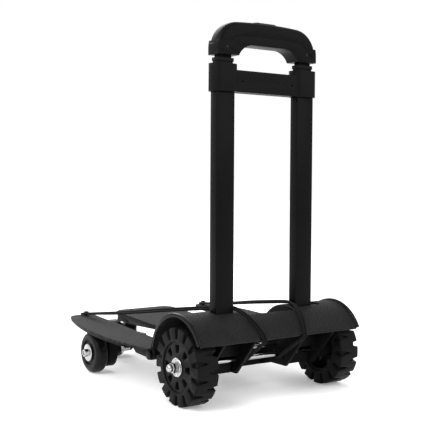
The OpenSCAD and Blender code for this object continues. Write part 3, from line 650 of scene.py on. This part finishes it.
class CART_OT_rear_wheels(bpy.types.Operator):
    """Lugged tyres, rims with their raised ring, and bushes of the two rear wheels"""
    bl_idname = "cart.rear_wheels"
    bl_label = "Rear wheels"

    def execute(self, context):
        for name, side in SIDES.items():
            rounded_piece("tyre_" + name, "tyre", 0.6 * MM, 2, 40)
            rounded_piece("rim_" + name, "rim_black", 0.8 * MM, 3, 40)
            rounded_piece("wheel_bush_" + name, "bush_black", 0.4 * MM)
            self.ring(name, side)
        return {"FINISHED"}

    def ring(self, name, side):
        """A raised bead round the rim, outside its windows"""
        low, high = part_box("rim_" + name)
        radius = (high.z - low.z) / 2 - 3.4 * MM
        face = (high.x if side > 0 else low.x) - side * 1.4 * MM
        wire = 1.2 * MM
        bm = bmesh.new()
        turned(bm, [(radius + wire * math.cos(a), face + side * wire * math.sin(a))
                    for a in [math.tau * i / 12 for i in range(12)]], AXLE)
        bmesh.ops.recalc_face_normals(bm, faces=bm.faces)
        piece("rim_ring_" + name, bm, "rear_wheel_" + name, "rim_black")


# ---- Handle ----

class CART_OT_tubes(bpy.types.Operator):
    """Telescoping tubes, their bushes and the collar"""
    bl_idname = "cart.tubes"
    bl_label = "Handle tubes"

    def execute(self, context):
        for node in ("outer_tube_left", "outer_tube_right", "mid_tubes", "inner_tubes"):
            rounded_piece(node, "tube_black", 0.7 * MM if "outer" in node else 0.4 * MM, 3)
        for node in ("outer_bushes", "mid_bushes"):
            rounded_piece(node, "bush_black", 0.3 * MM)
        rounded_piece("collar", "moulded_black", 1.2 * MM, 3)
        rounded_piece("collar_screws", "screw_black", 0.4 * MM)
        return {"FINISHED"}


def corners(edge):
    """Where an edge's two ends are, to a hundredth of a millimetre."""
    return tuple(round(c, 5) for v in edge.verts for c in v.co)


class CART_OT_grip(bpy.types.Operator):
    """Two-part grip with its seam, screws and push button"""
    bl_idname = "cart.grip"
    bl_label = "Grip"

    def execute(self, context):
        self.half("grip_cover", False)
        self.half("grip_shell", True)
        rounded_piece("grip_screws", "screw_black", 0.4 * MM)
        rounded_piece("grip_button", "button_gloss", 0.8 * MM, 3)
        self.spring()
        rounded_piece("release_rods", "zinc", 0.3 * MM)
        return {"FINISHED"}

    def half(self, node, inside):
        """One half of the grip, with a wide rounding along its free edges and a fine one at the seam"""
        bm = merged(node)
        low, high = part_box(node)
        wide, fine = [], []
        for edge in sharp_edges(bm, 60):
            ends = [v.co for v in edge.verts]
            on_face = all(min(abs(c.y - low.y), abs(c.y - high.y)) < 0.1 * MM for c in ends)
            # Edges shorter than this are left sharp
            if not on_face or edge.calc_length() < 2.2 * MM:
                continue
            wall = min(edge.link_faces, key=lambda f: abs(f.normal.y))
            spot = (ends[0] + ends[1]) / 2
            outward = wall.normal.x * spot.x + wall.normal.z * (spot.z - GRIP.z) > 0
            rim = abs(abs(spot.x) - high.x) < 0.5 * MM
            free_edge = (rim or not outward) if inside else outward
            faces_down = abs(wall.normal.z + 1) <= 0.1
            (wide if free_edge and not faces_down else fine).append(edge)
        seam = {corners(edge) for edge in fine}
        bevel(bm, wide, sizes().grip_round, 6)
        bevel(bm, [edge for edge in bm.edges if corners(edge) in seam], 0.6 * MM, 2)
        piece(node + "_rounded", bm, "handle_top", "grip_black", [node], 40)

    def spring(self):
        """The button's coil spring, wound on the height that its CAD sleeve holds"""
        low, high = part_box("button_spring")
        centre = (low + high) / 2
        # The wire's radius, and half the room that it takes
        wire, room = 0.45 * MM, 0.5 * MM
        radius = (high.x - low.x) / 2 - room
        turns, steps, sides = 5, 20, 8
        rise = (high.z - low.z - 2 * room) / turns
        bm = bmesh.new()
        start = ring(bm, [(centre.x + radius + wire * math.cos(a), centre.y,
                           low.z + room + wire * math.sin(a))
                          for a in [math.tau * i / sides for i in range(sides)]])
        spun = bmesh.ops.spin(bm, geom=start, cent=centre, axis=(0, 0, 1), dvec=(0, 0, rise / steps),
                              angle=math.tau * turns, steps=turns * steps, use_merge=False,
                              use_duplicate=False)
        bm.faces.new(start[:sides])
        bm.faces.new(last_verts(spun))
        bmesh.ops.recalc_face_normals(bm, faces=bm.faces)
        made = piece("button_coil", bm, None, "zinc", ["button_spring"])
        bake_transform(made)


# ---- Arms and casters ----

class CART_OT_arms(bpy.types.Operator):
    """Frames and woven decks of the three platform arms"""
    bl_idname = "cart.arms"
    bl_label = "Platform arms"

    def execute(self, context):
        for name in ARMS:
            rounded_piece("arm_frame_" + name, "frame_black", 0.8 * MM, 2)
            rounded_piece("arm_deck_" + name, "deck_weave", 1.3 * MM, 3)
            rounded_piece("arm_fasteners_" + name, "zinc", 0.4 * MM)
        for name in SIDES:
            rounded_piece("cord_hook_" + name, "moulded_black", 0.7 * MM)
        return {"FINISHED"}


class CART_OT_casters(bpy.types.Operator):
    """Forks, tyres, hubs and plated axles of the three casters"""
    bl_idname = "cart.casters"
    bl_label = "Casters"

    def execute(self, context):
        for name in ARMS:
            rounded_piece("caster_fork_" + name, "moulded_black", 1.6 * MM, 3)
            rounded_piece("caster_hub_" + name, "rim_black", 0.8 * MM, 3)
            rounded_piece("caster_axle_" + name, "chrome", 0.6 * MM, 2)
            self.tyre(name)
        return {"FINISHED"}

    def tyre(self, name):
        """A round-shouldered tyre with a groove moulded in each side"""
        low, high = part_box("caster_tyre_" + name)
        centre = (low + high) / 2
        outer = (high.z - low.z) / 2 - 0.1 * MM
        half = (high.x - low.x) / 2
        inner = size("caster_hub_" + name).z / 2 + 0.1 * MM
        shoulder = 9 * MM
        side = [(inner, half - 1.2 * MM), (inner + 0.8 * MM, half - 0.3 * MM), (inner + 2.6 * MM, half),
                (inner + 3.4 * MM, half - 0.7 * MM), (inner + 4.2 * MM, half)]
        crown = [(outer - shoulder * (1 - math.sin(a)), half - shoulder * (1 - math.cos(a)))
                 for a in [math.radians(10 * i) for i in range(1, 10)]]
        profile = side + crown + [(r, -x) for r, x in reversed(side + crown)]
        bm = bmesh.new()
        turned(bm, profile, centre)
        bmesh.ops.recalc_face_normals(bm, faces=bm.faces)
        piece("caster_tread_" + name, bm, "caster_wheel_" + name, "caster_rubber",
              ["caster_tyre_" + name])


# ---- Elastic cords ----

# The route of the left cord, in millimetres from the rear axle: from its end round
# the axle, over the housing and past the tube to the hook, and back beside itself
ROUTE = (
    (-36, 0, 71.4), (-36, 5.2, 68.7), (-36, 6.3, 63.9), (-36, 2.9, 59.3), (-36.2, -3.7, 59.8),
    (-37, -20, 71.2), (-38.5, -45, 88.6), (-40, -67, 104), (-41, -68, 111), (-45, -60, 124),
    (-52, -44, 140), (-58, -24, 151), (-61, -4, 156), (-65, 18, 155), (-79.5, 80, 146.5),
    (-93, 150, 136.5), (-108, 222, 125), (-122, 300, 113.4), (-136.8, 391, 101), (-138.3, 394.7, 101.1),
    (-142, 396.2, 101.2), (-145.7, 394.7, 101.1), (-147.7, 391, 101), (-128, 300, 110.8), (-112, 222, 122),
    (-96, 150, 133), (-82, 80, 143), (-66.4, 18, 152), (-65.2, -4, 153.6), (-62.5, -24, 150),
    (-57, -44, 139), (-50, -60, 123), (-46, -68, 110.5), (-45, -67, 104), (-43.5, -45, 88.6),
    (-42, -20, 71.2), (-41, -3.7, 59.8), (-41, 2.9, 59.3), (-41, 6.3, 63.9), (-41, 5.2, 68.7),
    (-41, 0, 71.4))


def smooth_route(points, steps):
    """Points on a smooth curve through a route."""
    made = []
    for i in range(len(points) - 1):
        a, b, c, d = (points[max(0, min(len(points) - 1, j))] for j in (i - 1, i, i + 1, i + 2))
        for k in range(steps):
            t = k / steps
            made.append(0.5 * (2 * b + (c - a) * t + (2 * a - 5 * b + 4 * c - d) * t ** 2
                               + (3 * b - a - 3 * c + d) * t ** 3))
    return made + [points[-1]]


class CART_OT_cords(bpy.types.Operator):
    """The two elastic cords, each run out to its hook and back, with a woven sleeve"""
    bl_idname = "cart.cords"
    bl_label = "Elastic cords"

    def execute(self, context):
        for name, side in SIDES.items():
            self.cord(name, side)
        return {"FINISHED"}

    def cord(self, name, side):
        points = [Vector((-side * x, y + AXLE.y / MM, z)) * MM for x, y, z in ROUTE]
        path = smooth_route(points, 4)
        radius = sizes().cord / 2
        # Weave repeats in each circumference, round the cord and along it
        repeats = 3
        sides = 14
        bm = bmesh.new()
        layer = bm.loops.layers.uv.new("Sleeve")
        rings, along = [], [0.0]
        for i, spot in enumerate(path):
            ahead = (path[min(i + 1, len(path) - 1)] - path[max(i - 1, 0)]).normalized()
            across = ahead.cross(Vector((1, 0, 0))).normalized()
            up = ahead.cross(across)
            rings.append([bm.verts.new(spot + radius * (math.cos(math.tau * k / sides) * across
                                                        + math.sin(math.tau * k / sides) * up))
                          for k in range(sides)])
            if i:
                along.append(along[-1] + (spot - path[i - 1]).length)
        turn = math.tau * radius
        for i in range(len(rings) - 1):
            for k in range(sides):
                m = (k + 1) % sides
                face = bm.faces.new((rings[i][k], rings[i][m], rings[i + 1][m], rings[i + 1][k]))
                spots = ((i, k), (i, k + 1), (i + 1, k + 1), (i + 1, k))
                for loop, (row, column) in zip(face.loops, spots):
                    loop[layer].uv = (along[row] / turn * repeats, column / sides * repeats)
        for end in (rings[0], rings[-1]):
            bm.faces.new(end)
        bmesh.ops.recalc_face_normals(bm, faces=bm.faces)
        made = piece("cord_" + name, bm, None, "cord_sleeve", ["elastic_cord_" + name], 60)
        "arm_" + name
        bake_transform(made)


# ---- Stage ----

class CART_OT_stage(bpy.types.Operator):
    """Plain pale floor, soft studio lights and the camera"""
    bl_idname = "cart.stage"
    bl_label = "Stage"

    def execute(self, context):
        self.floor()
        self.lights()
        self.camera()
        return {"FINISHED"}

    def floor(self):
        bm = bmesh.new()
        bmesh.ops.create_grid(bm, x_segments=8, y_segments=8, size=12)
        mesh = bpy.data.meshes.new("floor")
        bm.to_mesh(mesh)
        bm.free()
        mesh.materials.append(material("floor"))
        made = bpy.data.objects.new("floor", mesh)
        bpy.context.scene.collection.objects.link(made)

    def lights(self):
        world = bpy.data.worlds.new("studio")
        world.use_nodes = True
        background = world.node_tree.nodes["Background"]
        background.inputs["Color"].default_value = (1, 1, 1, 1)
        background.inputs["Strength"].default_value = 1.0
        bpy.context.scene.world = world
        for name, spot, reach, power in (("key", (-1.6, -0.4, 1.7), 1.2, 26),
                                         ("fill", (0.9, -1.9, 1.3), 1.4, 10),
                                         ("rear", (0.3, 2.1, 1.5), 1.6, 30)):
            lamp = bpy.data.lights.new(name, "AREA")
            lamp.size = reach
            lamp.energy = power
            made = bpy.data.objects.new(name, lamp)
            made.location = spot
            made.rotation_euler = (Vector(spot) - Vector((0, 0, 0.2))).to_track_quat("Z", "Y").to_euler()
            bpy.context.scene.collection.objects.link(made)
        bpy.context.scene.view_settings.view_transform = "Standard"

    def camera(self):
        """Stands behind the cart and to its left, a little above the housing"""
        lens = bpy.data.cameras.new("camera")
        lens.sensor_width = 36
        lens.lens = 73.1
        lens.clip_start, lens.clip_end = 0.05, 60
        made = bpy.data.objects.new("camera", lens)
        heading, pitch, roll = math.radians(55.291), math.radians(2.231), math.radians(0.314)
        turn = (Matrix.Rotation(heading - math.pi / 2, 4, "Z") @ Matrix.Rotation(math.pi / 2 - pitch, 4, "X")
                @ Matrix.Rotation(roll, 4, "Z"))
        made.matrix_world = Matrix.Translation(AXLE + Vector((-0.9278, -1.1988, 0.3048))) @ turn
        bpy.context.scene.collection.objects.link(made)
        bpy.context.scene.camera = made


OPERATORS = (CART_OT_cords, CART_OT_housing, CART_OT_chassis, CART_OT_rear_wheels, CART_OT_tubes,
             CART_OT_grip, CART_OT_arms, CART_OT_casters, CART_OT_stage)


class CART_PT_panel(bpy.types.Panel):
    """Lists the cart's pieces, sizes and finishes"""
    bl_idname = "CART_PT_panel"
    bl_label = "Folding platform cart"
    bl_space_type = "VIEW_3D"
    bl_region_type = "UI"
    bl_category = "Cart"

    def draw(self, context):
        for group in (context.scene.cart_sizes, context.scene.cart_finishes):
            for name in group.__annotations__:
                self.layout.prop(group, name)
        for operator in OPERATORS:
            self.layout.operator(operator.bl_idname)


CLASSES = (CartSizes, CartFinishes, *OPERATORS, CART_PT_panel)


def register():
    for made in CLASSES:
        bpy.utils.register_class(made)
    bpy.types.Scene.cart_sizes = bpy.props.PointerProperty(type=CartSizes)
    bpy.types.Scene.cart_finishes = bpy.props.PointerProperty(type=CartFinishes)


def unregister():
    del bpy.types.Scene.cart_finishes
    del bpy.types.Scene.cart_sizes
    for made in reversed(CLASSES):
        bpy.utils.unregister_class(made)


def main():
    register()
    bpy.ops.cart.stage()
    bpy.ops.cart.cords()
    bpy.ops.cart.housing()
    bpy.ops.cart.chassis()
    bpy.ops.cart.rear_wheels()
    bpy.ops.cart.tubes()
    bpy.ops.cart.grip()
    bpy.ops.cart.arms()
    bpy.ops.cart.casters()


if __name__ == "__main__":
    main()
